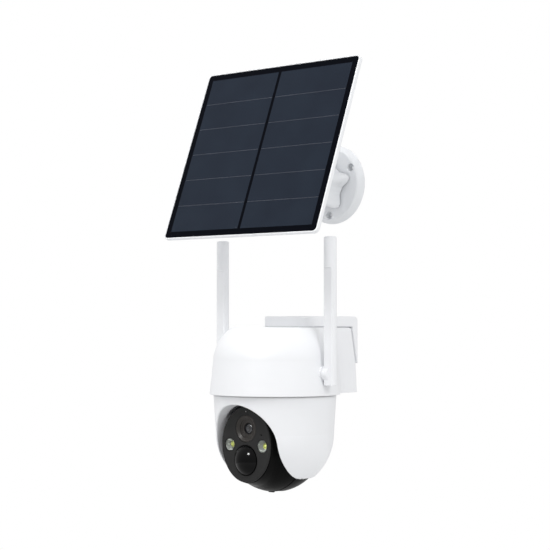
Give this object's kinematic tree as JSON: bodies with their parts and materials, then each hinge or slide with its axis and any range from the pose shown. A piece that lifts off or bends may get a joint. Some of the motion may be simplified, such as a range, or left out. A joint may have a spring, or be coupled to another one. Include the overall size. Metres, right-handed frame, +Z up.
{
  "type": "solar-powered security camera",
  "caption": "Wall-mounted battery pan-and-tilt camera with folding antennas and a ball-jointed solar panel above it",
  "frame": {"origin": "middle of the camera bracket's flat rear face, on the wall", "axes": "+Y into the wall, -Y the way the camera looks, +Z up, +X to the right as the camera is seen from in front"},
  "size_m": [0.1714, 0.1355, 0.3642],
  "materials": {
    "white_shell": "satin white moulded plastic",
    "grey_white": "satin light grey-white plastic",
    "black_shell": "satin black moulded plastic",
    "charcoal": "fine matt charcoal face",
    "lens_grey": "matt warm grey lens ring",
    "black_gloss": "polished black",
    "dark_rubber": "matt rubber",
    "steel": "plated steel",
    "brass": "machined brass",
    "chrome": "bright reflector",
    "clear_lens": "clear lens",
    "board_green": "solder mask",
    "gear_white": "natural acetal",
    "solar_cell": "dark slate silicon",
    "panel_glass": "clear cover sheet with a dark border",
    "cell_wrap": "shrink sleeve"
  },
  "bodies": {
    "wall_unit": {"wall_bracket": "white_shell", "bracket_lock_screw": "steel", "top_cap": "white_shell", "cap_floor": "grey_white", "cap_screw_1": "steel", "cap_screw_2": "steel", "chassis_plate": "steel", "pan_bearing": "steel", "pan_motor": "steel", "battery_tray": "black_shell", "battery_cell_front": "cell_wrap", "battery_cell_middle": "cell_wrap", "battery_cell_rear": "cell_wrap", "main_board": "board_green", "speaker": "black_shell", "charging_port": "steel", "antenna_pin_left": "steel", "antenna_pin_right": "steel", "solar_base": "grey_white"},
    "pan_unit": {"pan_housing": "white_shell", "turntable": "gear_white", "turntable_screw_1": "steel", "turntable_screw_2": "steel", "turntable_screw_3": "steel", "pan_gear": "gear_white", "tilt_motor": "steel"},
    "pan_pinion": {"pan_pinion": "brass"},
    "tilt_pinion": {"tilt_pinion": "brass"},
    "head": {"head_front_shell": "black_shell", "head_rear_shell": "black_shell", "card_reader": "steel", "face_plate": "charcoal", "lens_bezel": "lens_grey", "lens_glass": "black_gloss", "lens_barrel": "black_shell", "motion_sensor_dome": "black_gloss", "motion_sensor": "steel", "lamp_lens_left": "clear_lens", "lamp_reflector_left": "chrome", "lamp_lens_right": "clear_lens", "lamp_reflector_right": "chrome", "status_light": "clear_lens", "tilt_axle_left": "gear_white", "tilt_axle_right": "gear_white", "tilt_gear": "gear_white"},
    "service_cover": {"service_cover": "dark_rubber"},
    "antenna_left": {"antenna_left": "white_shell"},
    "antenna_right": {"antenna_right": "white_shell"},
    "charging_cover": {"charging_cover": "dark_rubber"},
    "power_button": {"power_button": "dark_rubber"},
    "lock_knob": {"lock_knob": "grey_white"},
    "ball_seat": {"ball_seat": "dark_rubber"},
    "ball_arm": {"ball_arm": "grey_white", "arm_nut": "steel"},
    "panel": {"panel_frame": "white_shell", "panel_glass": "panel_glass", "cell_string_left": "solar_cell", "cell_string_right": "solar_cell", "panel_back": "white_shell", "cable_gland": "dark_rubber"}
  },
  "joints": [
    {"name": "pan", "type": "hinge", "parent": "wall_unit", "child": "pan_unit", "pos_m": [0, -0.08, -0.046], "axis": [0, 0, 1], "range_deg": [-175, 175]},
    {"name": "pan_drive", "type": "hinge", "parent": "wall_unit", "child": "pan_pinion", "pos_m": [0, -0.041, -0.0374], "axis": [0, 0, 1], "range_deg": [-584, 584]},
    {"name": "tilt", "type": "hinge", "parent": "pan_unit", "child": "head", "pos_m": [0, -0.08, -0.0855], "axis": [-1, 0, 0], "range_deg": [-60, 15]},
    {"name": "tilt_drive", "type": "hinge", "parent": "pan_unit", "child": "tilt_pinion", "pos_m": [0.0365, -0.07407, -0.06173], "axis": [-1, 0, 0], "range_deg": [-42, 167]},
    {"name": "service_cover_hinge", "type": "hinge", "parent": "head", "child": "service_cover", "pos_m": [0, -0.069, -0.12495], "axis": [1, 0, 0], "range_deg": [0, 95]},
    {"name": "antenna_left_fold", "type": "hinge", "parent": "wall_unit", "child": "antenna_left", "pos_m": [-0.0605, -0.08, -0.0263], "axis": [1, 0, 0], "range_deg": [-35, 90]},
    {"name": "antenna_right_fold", "type": "hinge", "parent": "wall_unit", "child": "antenna_right", "pos_m": [0.0605, -0.08, -0.0263], "axis": [1, 0, 0], "range_deg": [-35, 90]},
    {"name": "charging_cover_hinge", "type": "hinge", "parent": "wall_unit", "child": "charging_cover", "pos_m": [0.013, -0.0195, -0.04415], "axis": [-1, 0, 0], "range_deg": [0, 110]},
    {"name": "power_button_press", "type": "slide", "parent": "wall_unit", "child": "power_button", "axis": [0, 0, 1], "range_m": [0, 0.0005], "stiffness_N_per_m": 400},
    {"name": "lock_knob_turn", "type": "hinge", "parent": "wall_unit", "child": "lock_knob", "pos_m": [0, -0.02, 0.1384], "axis": [0, -1, 0], "range_deg": [0, 180]},
    {"name": "ball_swivel", "type": "hinge", "parent": "wall_unit", "child": "ball_seat", "pos_m": [0, -0.038, 0.1384], "axis": [0, 0, 1], "range_deg": [-30, 30]},
    {"name": "ball_tilt", "type": "hinge", "parent": "ball_seat", "child": "ball_arm", "pos_m": [0, -0.038, 0.1384], "axis": [1, 0, 0], "range_deg": [-25, 20]},
    {"name": "panel_spin", "type": "hinge", "parent": "ball_arm", "child": "panel", "pos_m": [0, -0.038, 0.1384], "axis": [0, -0.9323, 0.3616], "range_deg": [-90, 90]}
  ],
  "couplings": [
    {"joint": "pan_drive", "follows": "pan", "ratio": -3.3333},
    {"joint": "tilt_drive", "follows": "tilt", "ratio": -2.7692}
  ]
}
